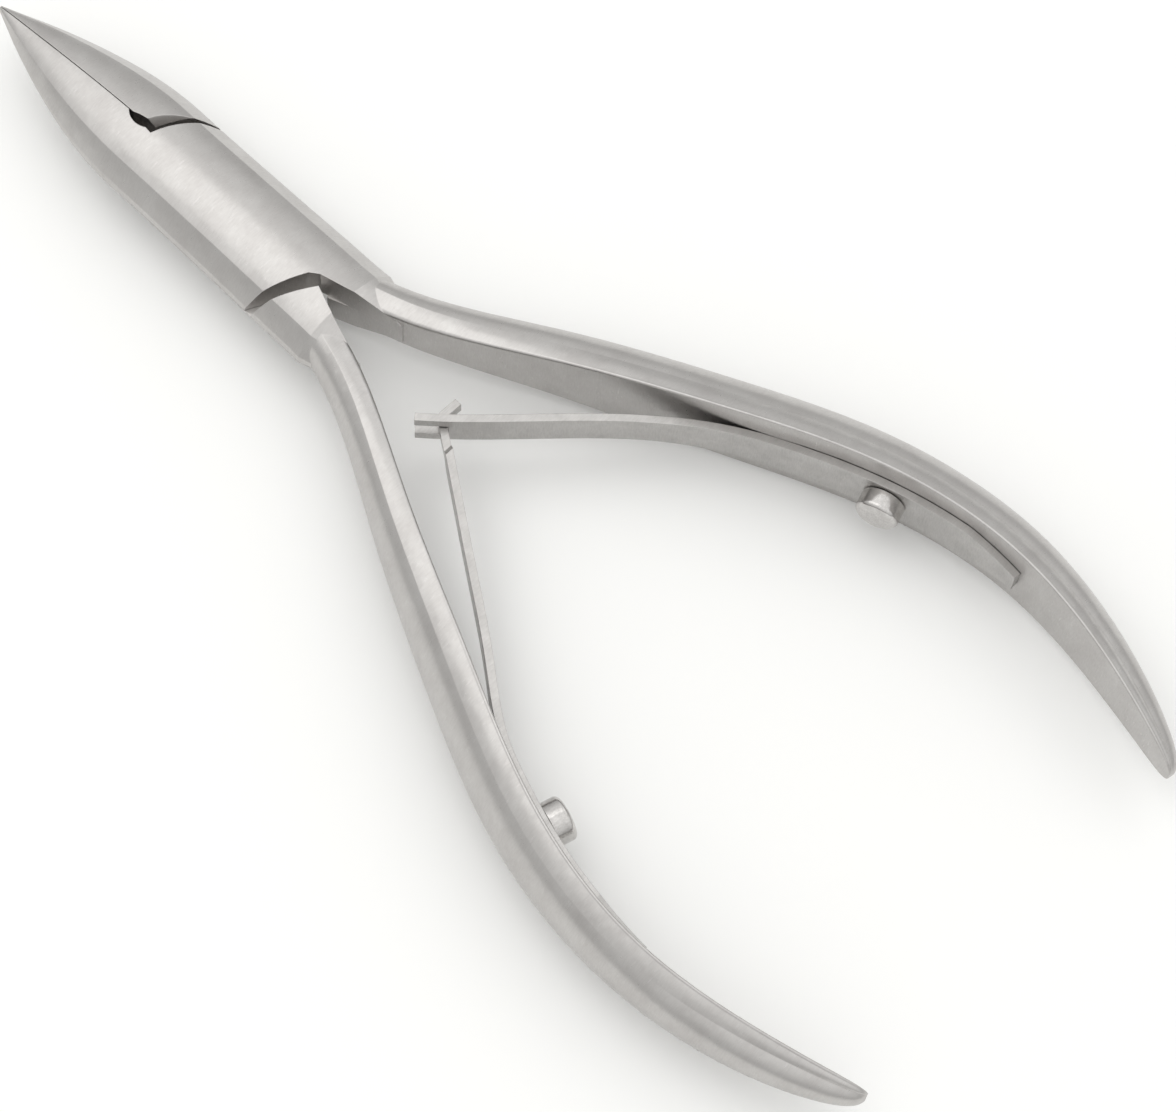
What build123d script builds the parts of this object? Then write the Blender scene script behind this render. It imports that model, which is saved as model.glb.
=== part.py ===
from build123d import *
import os

# Cuticle nipper: two forged halves on a lap joint, each handle with a leaf spring.
# Millimetres. +X runs to the jaw tips, +Y to the left handle, +Z is up.
# The origin is on the pivot axis, in the ground flat of the back face.
# Everything is drawn about the tool's mid-plane and lifted by MID when written.

# ---- jaw and barrel ----
MID = 3.0              # mid-plane above the ground flat on the back
TIP_X = 26.5           # jaw tips
JAW_X = 9.0            # where the jaw taper starts
BARREL_END_X = -14.3   # where the barrel's crown stops
BARREL_W = 4.9         # half width of the barrel
BARREL_REAR_W = 5.2    # half width at its rear end
CROWN_T = 3.2          # half thickness on the crown
CROWN_REAR_T = 3.1     # half thickness at its rear end
CREASE_W = 3.4         # crease between crown and side, from the centre line
CREASE_T = 2.2         # the same crease, from the mid-plane
ROUND_H = 0.23         # the round on the side reaches this share of the crease's height
ROUND_SAG = 0.34       # depth of that round, as a share of its own half height
FACET_SWELL = 0.012    # slight crown of the facet between them
TIP_W = 0.22           # half width of the closed jaw tips
TIP_T = 0.35           # half thickness there
RUN_OUT = (-18.5, 3.9, 1.6, 2.6, 1.2)  # small section where the barrel fades into the handles
LAP_GAP = 0.02         # each lap face stands this far off the mid-plane
BLADE_GAP = 0.03       # each closed blade stands this far off the centre line
SHOULDER = [(8.0, 0.52), (7.05, 2.5), (4.75, 5.4)]  # plan curve behind a jaw, below the lap
BEVEL_T = 2.3          # the shoulder is bevelled beyond this distance from the mid-plane
BEVEL_ANGLE = 32       # slope of that bevel off the vertical

# ---- pivot rivet ----
RIVET_D = 2.6
RIVET_HEAD_D = 3.2
RIVET_HEAD_T = 0.7
RIVET_BLIND = 1.9      # depth of the blind hole in the front half
RIVET_FIT = 0.03       # running clearance in the back half

# ---- handles ----
# The inner face of a handle, seen from above: x, distance from the centre line.
INNER_FACE = [(-12.0, 0.62), (-18.0, 2.3), (-30.0, 8.25), (-42.0, 14.0),
              (-54.0, 19.1), (-66.0, 21.15), (-78.0, 19.3), (-85.6, 16.9)]
# Sections square to that face: x where it is taken, half height of the flat inner
# face, thickness, and the crease as distance out from the inner face and height.
HANDLE_SECTIONS = [
    (-12.2, 1.9, 3.0, 1.45, 2.2),
    (-18.0, 2.1, 3.3, 1.55, 2.35),
    (-24.0, 2.5, 3.4, 1.55, 2.5),
    (-30.0, 3.15, 3.6, 1.6, 2.85),
    (-36.0, 3.8, 3.8, 1.65, 3.25),
    (-42.0, 4.25, 3.9, 1.7, 3.5),
    (-48.0, 4.42, 3.9, 1.7, 3.6),
    (-54.0, 4.35, 3.8, 1.65, 3.5),
    (-60.0, 4.12, 3.6, 1.55, 3.3),
    (-66.0, 3.8, 3.4, 1.45, 3.0),
    (-72.0, 3.4, 3.15, 1.3, 2.65),
    (-78.0, 2.8, 2.7, 1.05, 2.15),
    (-82.5, 2.05, 2.0, 0.75, 1.55),
    (-84.4, 1.5, 1.45, 0.54, 1.15),
    (-85.3, 0.9, 0.9, 0.33, 0.7),
    (-85.57, 0.45, 0.5, 0.18, 0.34),
]
CORNER_R = 0.28        # rounding of the handles' inner edges
FRONT_EXTRA = 0.4      # the front half's handle is this much deeper along its middle
BACK_EXTRA = -0.42     # and the back half's handle this much shallower
EXTRA_FROM = -80.0     # where that difference starts and ends, and how it fades
EXTRA_TO = -12.0
EXTRA_FADE = 15.0

# ---- leaf springs ----
LEAF_T = 0.65
LEAF_OFF = 0.04        # seating gap between a leaf and its handle
LEAF_ROOT_W = 4.3      # full width at the screw
LEAF_TIP_W = 3.2       # full width at the free end
LEAF_TAIL_X = -67.0
LEAF_LIFT_X = -47.6    # where a leaf leaves its handle and starts to bend
LEAF_CUT = 0.12        # saw cut that frees the bending part of a leaf
LEAF_FREE_X = -38.0    # from here to the free end the width stays the same
SLOT_W = 1.4           # height of the slot between the fork's tines
SLOT_X = -27.05        # closed end of that slot
NECK_W = 1.1           # tongue neck that passes through the slot
NECK_X = -28.3         # where the neck starts
HOOK_R = 0.45          # bend of the hook behind the fork
# Middle lines of the free parts, seen from above, both drawn as on the left handle.
FORK_PATH = [(-44.7, 14.85), (-41.0, 12.6), (-37.4, 9.75), (-32.1, 4.55), (-24.87, -2.57)]
TONGUE_PATH = [(-43.2, 12.75), (-36.0, 7.7), (-28.6, 2.55), (-27.2, 1.6)]
HOOK_PATH = [(-25.95, 0.72), (-26.0, -1.1)]

# ---- leaf screws ----
SCREW_X = -55.0
SCREW_HEAD_D = 3.6
SCREW_HEAD_H = 1.7
SCREW_D = 1.9
SCREW_DEPTH = 2.2      # thread length inside the handle
SCREW_SEAT = 0.04      # gap under the head, where the leaf curves away
SCREW_RIM_R = 0.4      # rounding of the head's outer rim
SCREW_SEAT_CHAMFER = 0.08


def at_x(curve, x):
    """Parameter of the point of a plan curve at a given x, by bisection."""
    low, high = 0.0, 1.0
    for _ in range(40):
        middle = (low + high) / 2
        if (curve @ middle).X > x:
            low = middle
        else:
            high = middle
    return (low + high) / 2


def body_section(x, half_w, half_t, crease_w, crease_t):
    """Barrel section: crowned front and back, and sides of two facets and a round."""
    plane = Plane(origin=(x, 0, 0), x_dir=(0, 1, 0), z_dir=(1, 0, 0))
    round_h = ROUND_H * crease_t
    round_w = half_w - ROUND_SAG * round_h
    middle = Vector((crease_w + round_w) / 2, (crease_t + round_h) / 2)
    swollen = middle + Vector(FACET_SWELL, FACET_SWELL) * crease_t
    crown = ThreePointArc((-crease_w, crease_t), (0, half_t), (crease_w, crease_t))
    facet = ThreePointArc((crease_w, crease_t), swollen, (round_w, round_h))
    edge = ThreePointArc((round_w, round_h), (half_w, 0), (round_w, -round_h))
    side = [facet, edge, facet.mirror(Plane.XZ)]
    other_side = [part.mirror(Plane.YZ) for part in side]
    return plane * make_face([crown, crown.mirror(Plane.XZ)] + side + other_side)


def jaw_section(x):
    """Section of the closed jaws, which taper to the tips along a smooth curve."""
    u = max(0.0, (x - JAW_X) / (TIP_X - JAW_X))
    wide = 1 - u ** 1.6
    thick = 1 - u ** 1.35
    half_w = TIP_W + (BARREL_W - TIP_W) * wide
    half_t = TIP_T + (CROWN_T - TIP_T) * thick
    crease_w = CREASE_W / BARREL_W * half_w
    crease_t = CREASE_T / CROWN_T * half_t
    return body_section(x, half_w, half_t, crease_w, crease_t)


def barrel_section(x):
    """Section of the barrel, a little wider and flatter towards its rear end."""
    back = ((JAW_X - x) / (JAW_X - BARREL_END_X)) ** 2
    half_w = BARREL_W + (BARREL_REAR_W - BARREL_W) * back
    half_t = CROWN_T + (CROWN_REAR_T - CROWN_T) * back
    return body_section(x, half_w, half_t, CREASE_W / BARREL_W * half_w, CREASE_T)


def make_spindle():
    """Jaws and barrel of the closed tool as one smooth body."""
    barrel = [barrel_section(x) for x in (BARREL_END_X, -10.5, -6.5, -2.5, 1.5, 5.5)]
    jaws = [jaw_section(x) for x in (JAW_X, 12.5, 16.0, 19.5, 23.0, TIP_X)]
    run_out = body_section(*RUN_OUT)
    return loft(barrel + jaws) + loft([run_out, barrel[0]], ruled=True)


def handle_section(curve, x, half_h, thick, crease_out, crease_h):
    """Handle section: flat inner face, two bevels and a crowned outer side."""
    u = at_x(curve, x)
    tangent = curve % u
    outward = Vector(-tangent.Y, tangent.X, 0)
    if outward.Y < 0:
        outward = -outward
    plane = Plane(origin=curve @ u, x_dir=outward, z_dir=outward.cross(Vector(0, 0, 1)))
    r = CORNER_R * min(1.0, half_h / 2)
    bevel = Vector(crease_out, crease_h - half_h)
    on_bevel = Vector(0, half_h) + bevel * (r / bevel.length)
    swell = Vector(0, half_h) + bevel * 0.5 + Vector(0.02, 0.07)
    corner = Vector(0.09 * r / CORNER_R, half_h - 0.07 * r / CORNER_R)
    inner_face = Line((0, -half_h + r), (0, half_h - r))
    upper = [ThreePointArc((0, half_h - r), corner, on_bevel),
             ThreePointArc(on_bevel, swell, (crease_out, crease_h))]
    crown = ThreePointArc((crease_out, crease_h), (thick, 0), (crease_out, -crease_h))
    lower = [edge.mirror(Plane.XZ) for edge in upper]
    return plane * make_face([inner_face] + upper + [crown] + lower)


def make_handle(curve, extra):
    """One handle, lofted along its inner face, with extra depth along its middle."""
    sections = []
    for x, half_h, thick, crease_out, crease_h in HANDLE_SECTIONS:
        share = max(0.0, min(1.0, (x - EXTRA_FROM) / EXTRA_FADE, (EXTRA_TO - x) / EXTRA_FADE))
        sections.append(handle_section(curve, x, half_h, thick + extra * share, crease_out, crease_h))
    return loft(sections)


def upper_region():
    """Plan outline of the front half above the lap: left jaw, whole barrel."""
    notch = ThreePointArc((7.5, 0.36), (6.62, -1.9), (4.55, -5.4))
    rear = ThreePointArc((-7.9, 5.6), (-9.3, 2.6), (-10.55, 0.15))
    scallop = [ThreePointArc((10.4, BLADE_GAP), (9.3, 0.56), (8.15, 0.3)),
               Line((8.15, 0.3), (7.5, 0.36))]
    front = [Polyline((30, 8), (30, BLADE_GAP), (10.4, BLADE_GAP))]
    side = [Polyline((4.55, -5.4), (4.3, -40), (-95, -40), (-95, -6), (-18.0, -2.25))]
    edge = [Line((-18.0, -2.25), (-11.3, -0.42)), Line((-11.3, -0.42), (-10.55, 0.15))]
    close = [Polyline((-7.9, 5.6), (-7.5, 8), (30, 8))]
    return make_face(front + scallop + [notch] + side + edge + [rear] + close)


def lower_jaw_region():
    """Plan outline of the left jaw below the lap."""
    shoulder = ThreePointArc(*SHOULDER)
    blade = Polyline((30, 8), (30, BLADE_GAP), (9.95, BLADE_GAP), (9.4, 0.22), SHOULDER[0])
    return make_face([blade, shoulder, Polyline(SHOULDER[2], (4.6, 8), (30, 8))])


def shoulder_bevel():
    """Wedge that bevels the jaw's shoulder where it meets the crown."""
    start, _, end = SHOULDER
    behind = Polyline(end, (2.0, end[1]), (2.0, start[1]), start)
    face = Plane.XY.offset(-BEVEL_T) * make_face([ThreePointArc(*SHOULDER), behind])
    return extrude(face, -1.5, taper=-BEVEL_ANGLE)


def lower_handle_region():
    """Plan outline of the right handle's root below the lap."""
    heel = ThreePointArc((-8.6, -5.6), (-10.5, -2.5), (-11.95, -0.38))
    inner = Polyline((-11.95, -0.38), (-14.5, -1.32), (-18.0, -2.25), (-95, -6))
    return make_face([heel, inner, Polyline((-95, -6), (-95, -40), (-8.4, -40), (-8.6, -5.6))])


def make_half(spindle, curve, extra):
    """A forged half: left jaw, its layer of the barrel and the right handle."""
    handle = mirror(make_handle(curve, extra), about=Plane.XZ)
    blank = spindle + handle
    tall = 10.0
    upper = extrude(Plane.XY.offset(LAP_GAP) * upper_region(), tall)
    lower_plane = Plane.XY.offset(LAP_GAP)
    lower = extrude(lower_plane * lower_jaw_region(), -tall) - shoulder_bevel()
    lower += extrude(lower_plane * lower_handle_region(), -tall)
    return blank & (upper + lower)


def solid_of(shape):
    """The largest solid of a result, without any loose slivers."""
    return shape.solids().sort_by(SortBy.VOLUME)[-1]


def leaf_profile(neck):
    """Side outline of a leaf: widest at the screw, narrow at the free end."""
    root = LEAF_ROOT_W / 2
    tip = LEAF_TIP_W / 2
    points = [(LEAF_TAIL_X - 1, 0.9), (LEAF_TAIL_X + 5, root), (-50, root), (LEAF_FREE_X, tip)]
    if neck:
        points += [(NECK_X - 0.6, tip), (NECK_X, NECK_W / 2), (-20, NECK_W / 2)]
    else:
        points += [(-20, tip)]
    outline = points + [(x, -z) for x, z in reversed(points)]
    return extrude(Plane.XZ * make_face(Polyline(outline, close=True)), 60, both=True)


def leaf_strip(curve, free_points, hook_points):
    """A strip along the handle's inner face that lifts off towards its free end."""
    seated = []
    for x in (LEAF_TAIL_X, -64.0, -61.0, -58.0, -55.0, -52.0, -49.0):
        u = at_x(curve, x)
        tangent = curve % u
        normal = Vector(-tangent.Y, tangent.X, 0)
        if normal.Y > 0:
            normal = -normal
        seated.append((curve @ u) + normal * (LEAF_OFF + LEAF_T / 2))
    path = Spline(seated + [Vector(*p) for p in free_points])
    if hook_points:
        bend = FilletPolyline(free_points[-1], *hook_points, radius=HOOK_R)
        path = Wire([path] + bend.edges())
    start = path @ 0
    section = Plane(origin=start, x_dir=(0, 0, 1), z_dir=path % 0) * Rectangle(9, LEAF_T)
    return sweep(section, path=path)


def split_leaf(strip, curve):
    """Cut a leaf where it lifts off: returns its clamped root and its free blade."""
    u = at_x(curve, LEAF_LIFT_X)
    tangent = curve % u
    cut = Plane(origin=curve @ u, x_dir=tangent, z_dir=(0, 0, 1)) * Box(LEAF_CUT, 6, 12)
    parts = (strip - cut).solids().sort_by(Axis.X)
    return parts[0], parts[-1]


def screw_frame(curve):
    """Plane on the handle's inner face at the screw, z pointing out of the face."""
    u = at_x(curve, SCREW_X)
    tangent = curve % u
    inward = Vector(tangent.Y, -tangent.X, 0)
    if inward.Y > 0:
        inward = -inward
    return Plane(origin=curve @ u, x_dir=(0, 0, 1), z_dir=inward)


def make_screw(frame):
    """Short pan screw that clamps a leaf: shank in the handle, polished head."""
    seat = LEAF_OFF + LEAF_T + SCREW_SEAT
    shank = Cylinder(SCREW_D / 2, SCREW_DEPTH + seat, align=(Align.CENTER, Align.CENTER, Align.MIN))
    head = Cylinder(SCREW_HEAD_D / 2, SCREW_HEAD_H, align=(Align.CENTER, Align.CENTER, Align.MIN))
    rims = head.edges().filter_by(GeomType.CIRCLE).sort_by(Axis.Z)
    head = fillet(rims[-1], SCREW_RIM_R)
    rims = head.edges().filter_by(GeomType.CIRCLE).sort_by(Axis.Z)
    head = chamfer(rims[0], SCREW_SEAT_CHAMFER)
    shank = Pos(0, 0, -SCREW_DEPTH) * shank
    return frame * (shank + Pos(0, 0, seat) * head)


def screw_hole(frame, radius):
    """Hole for the shank through the leaf and into the handle."""
    depth = SCREW_DEPTH + 0.1
    drill = Cylinder(radius, depth + 3, align=(Align.CENTER, Align.CENTER, Align.MIN))
    return frame * (Pos(0, 0, -depth) * drill)


def turn_over(shape):
    """The other half of the tool is this half turned over about the long axis."""
    return shape.rotate(Axis.X, 180)


def make_rivet():
    """Countersunk rivet, flush with the ground flat, pressed into the front half."""
    low = -MID
    profile = Polyline(
        (0, low), (RIVET_HEAD_D / 2, low), (RIVET_D / 2, low + RIVET_HEAD_T),
        (RIVET_D / 2, RIVET_BLIND), (0, RIVET_BLIND), close=True)
    return revolve(Plane.XZ * make_face(profile), Axis.Z)


def rivet_bore():
    """Countersunk running bore in the back half, a little larger than the rivet."""
    low = -MID - 1
    head = RIVET_HEAD_D / 2 + RIVET_FIT + 0.02
    shank = RIVET_D / 2 + RIVET_FIT
    profile = Polyline(
        (0, low), (head, low), (head, -MID), (shank, -MID + RIVET_HEAD_T + 0.02),
        (shank, 1), (0, 1), close=True)
    return revolve(Plane.XZ * make_face(profile), Axis.Z)


def write(name, shape):
    """Lift a finished piece off its mid-plane frame and write it as one STEP file."""
    placed = Pos(0, 0, MID) * shape
    placed.label = name
    export_step(placed, f"parts/{name}.step")
    print(name, len(placed.solids()), round(placed.volume, 2))


def main():
    os.makedirs("parts", exist_ok=True)
    curve = Spline([Vector(x, y) for x, y in INNER_FACE])
    spindle = make_spindle()
    front_forging = solid_of(make_half(spindle, curve, FRONT_EXTRA))
    back_forging = turn_over(solid_of(make_half(spindle, curve, BACK_EXTRA)))

    left_frame = screw_frame(curve)
    left_screw = make_screw(left_frame)
    right_screw = turn_over(left_screw)
    left_hole = screw_hole(left_frame, SCREW_D / 2)
    right_hole = turn_over(left_hole)

    blind = Cylinder(RIVET_D / 2, RIVET_BLIND + 5, align=(Align.CENTER, Align.CENTER, Align.MIN))
    front_half = front_forging - Pos(0, 0, -5) * blind - right_hole
    flat = Pos(0, 0, -MID) * Box(30, 12, 4, align=(Align.CENTER, Align.CENTER, Align.MAX))
    back_half = back_forging - rivet_bore() - flat - left_hole

    slot = Pos(SLOT_X, 0, 0) * Box(8, 20, SLOT_W, align=(Align.MIN, Align.CENTER, Align.CENTER))
    fork = leaf_strip(curve, FORK_PATH, []) & leaf_profile(False)
    fork = turn_over(fork - slot - left_hole)
    tongue = (leaf_strip(curve, TONGUE_PATH, HOOK_PATH) & leaf_profile(True)) - left_hole
    right_curve = mirror(curve, about=Plane.XZ)
    fork_root, fork_blade = split_leaf(fork, right_curve)
    tongue_root, tongue_blade = split_leaf(tongue, curve)

    write("front_half", solid_of(front_half))
    write("back_half", solid_of(back_half))
    write("pivot_rivet", make_rivet())
    write("fork_leaf_root", fork_root)
    write("fork_leaf_blade", fork_blade)
    write("tongue_leaf_root", tongue_root)
    write("tongue_leaf_blade", tongue_blade)
    write("fork_leaf_screw", right_screw)
    write("tongue_leaf_screw", left_screw)


main()
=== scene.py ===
import bpy, bmesh, math
from mathutils import Matrix, Vector


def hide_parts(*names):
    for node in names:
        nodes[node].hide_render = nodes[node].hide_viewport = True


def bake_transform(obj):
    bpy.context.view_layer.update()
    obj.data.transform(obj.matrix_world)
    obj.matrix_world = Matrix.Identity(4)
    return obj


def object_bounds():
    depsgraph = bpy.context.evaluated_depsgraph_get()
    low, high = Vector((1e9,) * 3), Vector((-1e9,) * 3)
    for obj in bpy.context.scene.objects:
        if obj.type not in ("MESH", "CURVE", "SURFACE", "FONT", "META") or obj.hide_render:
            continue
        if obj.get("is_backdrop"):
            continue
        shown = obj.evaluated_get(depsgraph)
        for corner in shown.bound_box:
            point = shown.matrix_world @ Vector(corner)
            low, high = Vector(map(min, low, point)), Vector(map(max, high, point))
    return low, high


# Cuticle nipper in satin stainless steel. Lengths in the dictionaries are in mm.
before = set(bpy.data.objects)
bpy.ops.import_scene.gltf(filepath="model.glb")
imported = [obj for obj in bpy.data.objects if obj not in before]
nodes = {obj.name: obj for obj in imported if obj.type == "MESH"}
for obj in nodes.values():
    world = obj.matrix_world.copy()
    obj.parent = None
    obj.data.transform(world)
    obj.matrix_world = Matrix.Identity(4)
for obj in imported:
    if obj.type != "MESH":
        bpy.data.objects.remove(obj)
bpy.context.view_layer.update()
mm = 0.001
print("stage: frame loaded")

# Camera: where it stands and how it is turned, in the frame of the CAD.
cameraSet = dict(
    place=(-101.4, 73.1, 222.3),
    right=(-0.7165, -0.6968, 0.0319),
    up=(0.6465, -0.6461, 0.4053),
    lens=94.8,
    sensorWidth=36,
    shift=(0.0094, -0.0442),
    seesFrom=0.005,                # nearest and farthest distance shown, m
    seesTo=20,
)


def makeCamera(s):
    data = bpy.data.cameras.new("camera")
    data.lens = s["lens"]
    data.sensor_width = s["sensorWidth"]
    data.sensor_fit = "HORIZONTAL"
    data.shift_x, data.shift_y = s["shift"]
    data.clip_start, data.clip_end = s["seesFrom"], s["seesTo"]
    cam = bpy.data.objects.new("camera", data)
    bpy.context.scene.collection.objects.link(cam)
    right, up = Vector(s["right"]).normalized(), Vector(s["up"])
    back = right.cross(up).normalized()
    up = back.cross(right)
    turn = Matrix((right, up, back)).transposed().to_4x4()
    cam.matrix_world = Matrix.Translation(Vector(s["place"]) * mm) @ turn
    bpy.context.scene.camera = cam


makeCamera(cameraSet)
print("stage: camera")


def linear(hexColour):
    out = []
    for i in (1, 3, 5):
        c = int(hexColour[i:i + 2], 16) / 255
        out.append(c / 12.92 if c <= 0.04045 else ((c + 0.055) / 1.055) ** 2.4)
    return (*out, 1.0)


# A link named i3 goes to the node's fourth socket; any other name is the socket's own.
def addNode(tree, kind, values=None, inputs=None, **links):
    node = tree.nodes.new(kind)
    for key, value in (values or {}).items():
        setattr(node, key, value)
    for key, value in (inputs or {}).items():
        node.inputs[key].default_value = value
    for key, source in links.items():
        socket = int(key[1:]) if key[1:].isdigit() else key
        tree.links.new(source, node.inputs[socket])
    return node


def newMaterial(name):
    mat = bpy.data.materials.new(name)
    mat.use_nodes = True
    tree = mat.node_tree
    tree.nodes.clear()
    shader = addNode(tree, "ShaderNodeBsdfPrincipled")
    out = addNode(tree, "ShaderNodeOutputMaterial")
    tree.links.new(shader.outputs["BSDF"], out.inputs["Surface"])
    return mat, tree, shader


# Satin stainless steel (AISI 420), forged, then belt-ground across its length with fine
# grit. The eye gets soft, wide highlights with a faint cross grain, and bright bare arrises.
satinSteel = dict(
    light="#C6C4C2", dark="#B7B4B2",   # clean ground metal, and the duller film left on it
    roughness=(0.27, 0.35),
    grainMm=0.09,      # spacing of the grinding lines
    grainRun=7,        # how many times longer than wide a line is
    grainDepth=0.0002, # mm
    mottleMm=2.6,      # size of the cloudy patches
    arrisMm=0.09,      # worn rounding of the edges
)
# Cold-rolled spring steel strip: greyer, even, with fine cross lines from the slitting mill.
springSteel = dict(
    light="#C3C1BF", dark="#ADABA9",
    roughness=(0.3, 0.4),
    grainMm=0.08,
    grainRun=8,
    grainDepth=0.0002,
    mottleMm=1.6,
    arrisMm=0.05,
)
# Turned and tumbled screw steel: close to a mirror, with shallow turning marks.
turnedSteel = dict(
    light="#DAD8D6", dark="#B5B2B0",
    roughness=(0.1, 0.2),
    grainMm=0.08,
    grainRun=3,
    grainDepth=0.0002,
    mottleMm=0.7,
    arrisMm=0.05,
)


# How strongly the grain and the cloudy patches show, the same for all three steels.
grainShare = 0.45            # share of the grain in the colour; the patches make up the rest
colourSpan = (0.32, 0.68)    # part of the mixed pattern that runs from light to dark
roughSpan = (0.3, 0.7)       # part of the grain that runs from smooth to rough
arrisSamples = 6


def steelMaterial(name, s):
    mat, tree, shader = newMaterial(name)
    place = addNode(tree, "ShaderNodeTexCoord")
    fine = 1000 / s["grainMm"]
    stretched = addNode(tree, "ShaderNodeMapping",
                        inputs={"Scale": (fine, fine / s["grainRun"], fine / s["grainRun"])},
                        Vector=place.outputs["Object"])
    grain = addNode(tree, "ShaderNodeTexNoise",
                    inputs={"Scale": 1.0, "Detail": 3.0, "Roughness": 0.6},
                    Vector=stretched.outputs["Vector"])
    mottle = addNode(tree, "ShaderNodeTexNoise",
                     inputs={"Scale": 1000 / s["mottleMm"], "Detail": 4.0, "Roughness": 0.62},
                     Vector=place.outputs["Object"])
    blendBoth = addNode(tree, "ShaderNodeMix", values={"data_type": "FLOAT"}, inputs={0: grainShare},
                        i2=mottle.outputs["Fac"], i3=grain.outputs["Fac"])
    spread = addNode(tree, "ShaderNodeMapRange",
                     inputs={1: colourSpan[0], 2: colourSpan[1], 3: 0.0, 4: 1.0},
                     i0=blendBoth.outputs[0])
    colour = addNode(tree, "ShaderNodeMix", values={"data_type": "RGBA"},
                     inputs={6: linear(s["light"]), 7: linear(s["dark"])}, i0=spread.outputs[0])
    tree.links.new(colour.outputs[2], shader.inputs["Base Color"])
    low, high = s["roughness"]
    rough = addNode(tree, "ShaderNodeMapRange",
                    inputs={1: roughSpan[0], 2: roughSpan[1], 3: low, 4: high},
                    i0=grain.outputs["Fac"])
    tree.links.new(rough.outputs[0], shader.inputs["Roughness"])
    arris = addNode(tree, "ShaderNodeBevel", values={"samples": arrisSamples},
                    inputs={"Radius": s["arrisMm"] * mm})
    bump = addNode(tree, "ShaderNodeBump",
                   inputs={"Strength": 1.0, "Distance": s["grainDepth"] * mm},
                   Height=grain.outputs["Fac"], Normal=arris.outputs["Normal"])
    tree.links.new(bump.outputs["Normal"], shader.inputs["Normal"])
    shader.inputs["Metallic"].default_value = 1.0
    return mat


def dress(obj, mat):
    obj.data.materials.clear()
    obj.data.materials.append(mat)


forged = steelMaterial("satinStainless", satinSteel)
spring = steelMaterial("rolledSpringSteel", springSteel)
turned = steelMaterial("turnedScrewSteel", turnedSteel)
for name in ("front_half", "back_half", "pivot_rivet"):
    dress(nodes[name], forged)
for name in ("fork_leaf_screw", "tongue_leaf_screw"):
    dress(nodes[name], turned)
print("stage: steel")

# Leaf springs: each is one strip, from its screw to its free end, that bends just past
# the point where it leaves its handle. The CAD has it in two pieces, joined here.
forkLeafSet = dict(
    root="fork_leaf_root", blade="fork_leaf_blade",
    rootBody="front", bladeBody="fork_blade",
    lift=(-47.6, -16.4, 3.0),    # where the strip leaves its handle
    along=(0.92, 0.39, 0.0),     # direction of the strip there, towards its free end
    bend=(-0.5, 2.5),            # the bend starts and ends this far along from there
    rings=9,                     # sections added across the bend
)
tongueLeafSet = dict(
    root="tongue_leaf_root", blade="tongue_leaf_blade",
    rootBody="back", bladeBody="tongue_blade",
    lift=(-47.6, 16.4, 3.0),
    along=(0.92, -0.39, 0.0),
    bend=(-0.5, 2.5),
    rings=9,
)
weldMm = 0.001       # points closer than this are one point
endReachMm = 2.5     # a strip's cut end lies within this distance of its lift point
endFacing = 0.9      # and faces along the strip at least this squarely


def endFaces(bm, lift, along, side):
    near = [f for f in bm.faces if (f.calc_center_median() - lift).length < endReachMm * mm]
    return [f for f in near if f.normal.dot(along) * side > endFacing]


# The surface of a CAD piece, each corner carrying the direction that it is shaded by.
def nodeSurface(name):
    mesh = nodes[name].data.copy()
    mesh.transform(nodes[name].matrix_world)
    normals = [value for n in mesh.corner_normals for value in n.vector]
    mesh.attributes.new("keptNormal", "FLOAT_VECTOR", "CORNER").data.foreach_set("vector", normals)
    bm = bmesh.new()
    bm.from_mesh(mesh)
    bmesh.ops.remove_doubles(bm, verts=bm.verts, dist=weldMm * mm)
    bm.normal_update()
    bpy.data.meshes.remove(mesh)
    return bm


# Takes away a strip's cut end and gives the points round the opening.
def openEnd(bm, lift, along, side):
    faces = endFaces(bm, lift, along, side)
    rim = {v for f in faces for v in f.verts}
    bmesh.ops.delete(bm, geom=faces, context="FACES_ONLY")
    return rim


def makeLeaf(name, s):
    lift, along = Vector(s["lift"]) * mm, Vector(s["along"]).normalized()
    root, blade = nodeSurface(s["root"]), nodeSurface(s["blade"])
    rootRim = [v.co.copy() for v in openEnd(root, lift, along, 1)]
    bladeRim = openEnd(blade, lift, along, -1)
    for v in bladeRim:
        v.co = min(rootRim, key=lambda co: (co - v.co).length)
    mesh = bpy.data.meshes.new(name)
    blade.to_mesh(mesh)
    root.from_mesh(mesh)
    bmesh.ops.remove_doubles(root, verts=root.verts, dist=weldMm * mm)
    start, end = s["bend"]
    for i in range(s["rings"]):
        place = lift + along * (start + (end - start) * i / (s["rings"] - 1)) * mm
        everything = root.verts[:] + root.edges[:] + root.faces[:]
        bmesh.ops.bisect_plane(root, geom=everything, plane_co=place, plane_no=along)
    for f in root.faces:
        f.smooth = True
    root.to_mesh(mesh)
    root.free()
    blade.free()
    kept = [d.vector.normalized() for d in mesh.attributes["keptNormal"].data]
    mesh.normals_split_custom_set(kept)
    mesh.attributes.remove(mesh.attributes["keptNormal"])
    leaf = bpy.data.objects.new(name, mesh)
    bpy.context.scene.collection.objects.link(leaf)
    dress(leaf, spring)
    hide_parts(s["root"], s["blade"])
    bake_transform(leaf)


makeLeaf("forkLeaf", forkLeafSet)
makeLeaf("tongueLeaf", tongueLeafSet)
print("stage: leaf springs")

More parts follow.
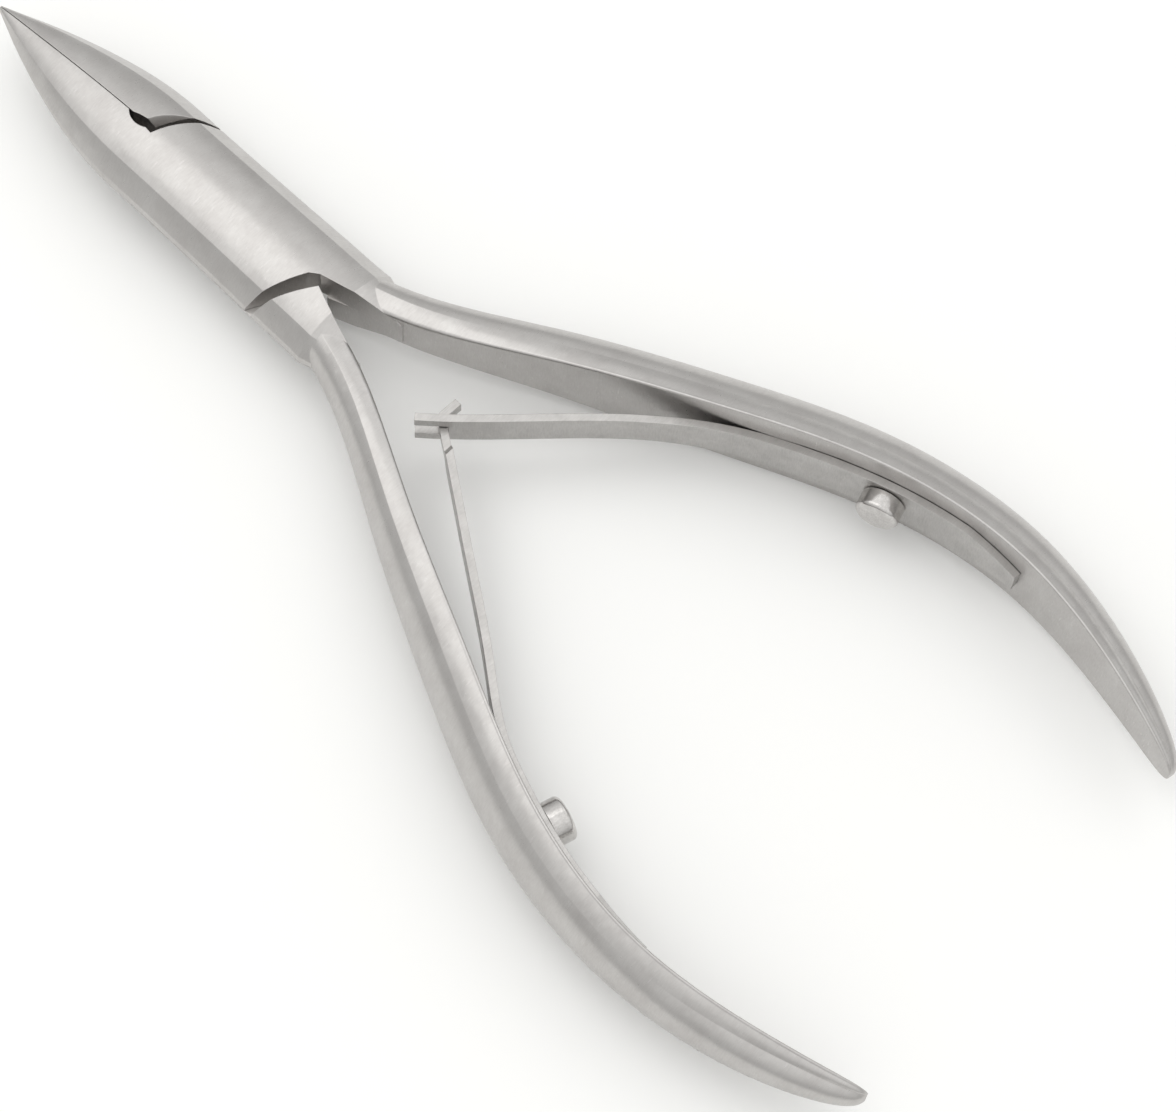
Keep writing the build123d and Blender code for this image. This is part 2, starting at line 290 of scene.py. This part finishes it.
# Studio: a white card below, two softboxes, and a room that is brightest overhead.
floorSet = dict(
    colour="#FBFBFA",
    size=6.0,          # m
    drop=0.2,          # mm below the tool
    roughness=0.9,
    shine=0.1,
)
lightAim = (-0.03, 0, 0)    # m
lightSet = [
    # name, direction to the light, distance (m), size (m), brightness, colour
    ("overheadSoftbox", (0.47, 0.10, 0.87), 0.60, (0.50, 0.62), 0.50, "#FFFEFC"),
    ("rearSoftbox", (0.02, -0.67, 0.74), 0.80, (0.42, 0.30), 0.50, "#FFFFFF"),
]
skySet = dict(top="#E6E6E5", horizon="#9C9C9B", below="#A8A8A6", strength=1.5)


def makeFloor(s):
    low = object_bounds()[0].z - s["drop"] * mm
    mesh = bpy.data.meshes.new("floor")
    h = s["size"] / 2
    mesh.from_pydata([(-h, -h, low), (h, -h, low), (h, h, low), (-h, h, low)], [], [(0, 1, 2, 3)])
    floor = bpy.data.objects.new("floor", mesh)
    bpy.context.scene.collection.objects.link(floor)
    mat, tree, shader = newMaterial("mattWhiteCard")
    shader.inputs["Base Color"].default_value = linear(s["colour"])
    shader.inputs["Roughness"].default_value = s["roughness"]
    shader.inputs["Specular IOR Level"].default_value = s["shine"]
    dress(floor, mat)
    floor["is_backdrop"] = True


def makeLights(rows):
    aim = Vector(lightAim)
    for name, direction, distance, size, brightness, colour in rows:
        data = bpy.data.lights.new(name, "AREA")
        data.shape = "RECTANGLE"
        data.size, data.size_y = size
        data.energy = brightness * math.pi * size[0] * size[1]
        data.color = linear(colour)[:3]
        light = bpy.data.objects.new(name, data)
        bpy.context.scene.collection.objects.link(light)
        toLight = Vector(direction).normalized()
        light.location = aim + toLight * distance
        light.rotation_mode = "QUATERNION"
        light.rotation_quaternion = toLight.to_track_quat("Z", "Y")


def makeSky(s):
    world = bpy.data.worlds.new("studioRoom")
    bpy.context.scene.world = world
    world.use_nodes = True
    tree = world.node_tree
    tree.nodes.clear()
    place = addNode(tree, "ShaderNodeTexCoord")
    split = addNode(tree, "ShaderNodeSeparateXYZ", Vector=place.outputs["Generated"])
    ramp = addNode(tree, "ShaderNodeValToRGB")
    height = addNode(tree, "ShaderNodeMapRange",
                     inputs={1: -1.0, 2: 1.0, 3: 0.0, 4: 1.0},
                     i0=split.outputs["Z"])
    tree.links.new(height.outputs[0], ramp.inputs["Fac"])
    stops = ramp.color_ramp.elements
    stops[0].position, stops[0].color = 0.0, linear(s["below"])
    stops[1].position, stops[1].color = 1.0, linear(s["top"])
    middle = stops.new(0.5)
    middle.color = linear(s["horizon"])
    sky = addNode(tree, "ShaderNodeBackground", inputs={"Strength": s["strength"]},
                  Color=ramp.outputs["Color"])
    out = addNode(tree, "ShaderNodeOutputWorld")
    tree.links.new(sky.outputs[0], out.inputs["Surface"])


makeFloor(floorSet)
makeLights(lightSet)
makeSky(skySet)
bpy.context.scene.view_settings.view_transform = "Standard"
print("stage: studio")
